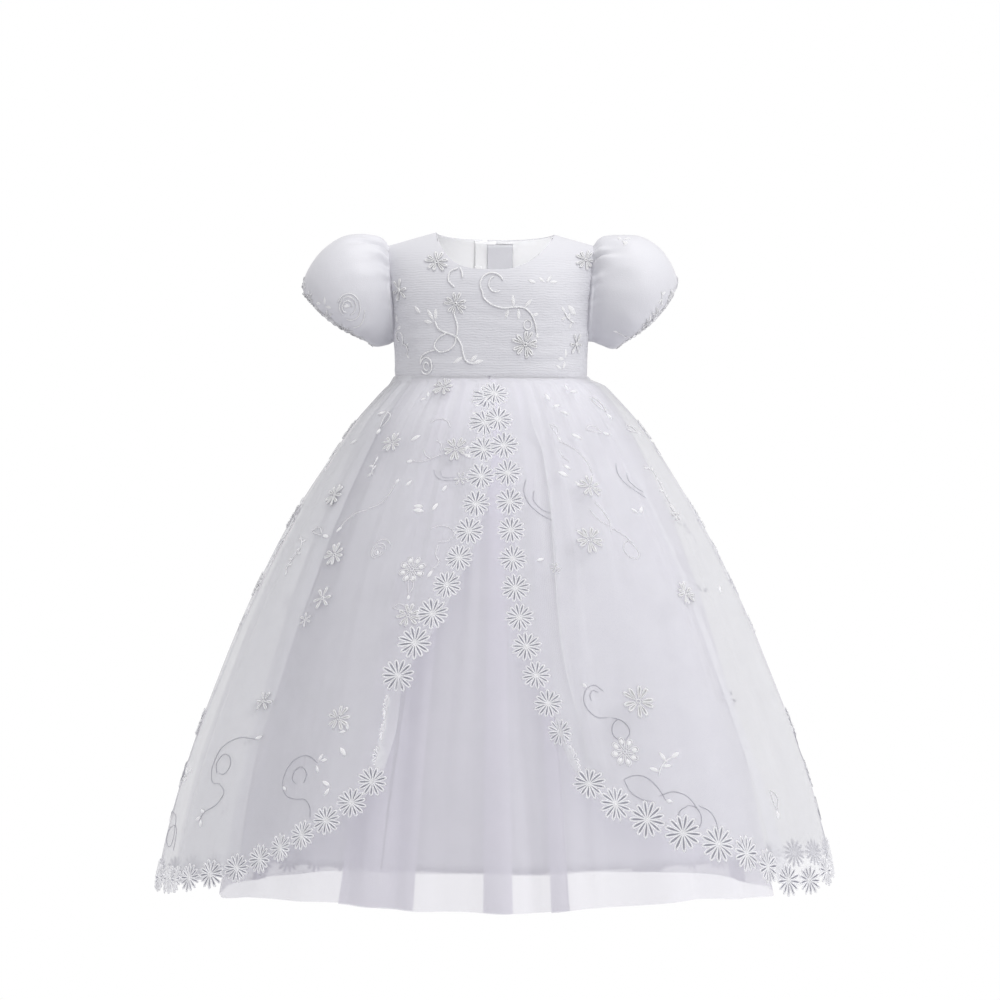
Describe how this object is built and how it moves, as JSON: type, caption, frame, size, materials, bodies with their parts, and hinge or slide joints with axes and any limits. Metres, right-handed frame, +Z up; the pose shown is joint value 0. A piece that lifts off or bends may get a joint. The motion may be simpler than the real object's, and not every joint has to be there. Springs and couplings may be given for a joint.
{
  "type": "christening gown",
  "caption": "Infant's short puff-sleeved christening gown with a fitted ribbed bodice, a full skirt and an open embroidered net overskirt edged with daisy lace, filled out as if worn.",
  "frame": {"origin": "between the shoulders, on the wearer's middle plane, a little above the front neckline", "axes": "+Z up, -Y to the front of the wearer, +X to the wearer's left"},
  "size_m": [0.6489, 0.4803, 0.6281],
  "materials": {
    "ribbed_crepe": "fine crinkled horizontal ribs, soft sheen",
    "organza": "thin crisp cloth over a lining, soft sheen",
    "embroidered_net": "fine net with satin-stitch flowers, leaves and scrolls",
    "tulle": "sheer matt net",
    "lining_satin": "smooth satin",
    "guipure_lace": "thick stitched lace",
    "ribbon": "woven ribbon",
    "zip_nylon": "white nylon coil and lacquered slider"
  },
  "bodies": {
    "gown": {"bodice_front": "ribbed_crepe", "bodice_back_left": "ribbed_crepe", "bodice_back_right": "ribbed_crepe", "sleeve_left": "organza", "sleeve_right": "organza", "cuff_lace_left": "guipure_lace", "cuff_lace_right": "guipure_lace", "overskirt_left": "embroidered_net", "overskirt_right": "embroidered_net", "net_skirt_front": "tulle", "net_skirt_back": "tulle", "lining_front": "lining_satin", "lining_back": "lining_satin", "daisy_trim_left": "guipure_lace", "daisy_trim_right": "guipure_lace", "zip_chain": "zip_nylon", "zip_guard": "ribbed_crepe", "size_tab": "ribbon", "zip_slider": "zip_nylon"},
    "pull": {"zip_pull": "zip_nylon"}
  },
  "joints": [
    {"name": "pull_lift", "type": "hinge", "parent": "gown", "child": "pull", "pos_m": [-0.006, 0.05684, -0.01742], "axis": [1, 0, 0], "range_deg": [0, 150]}
  ]
}
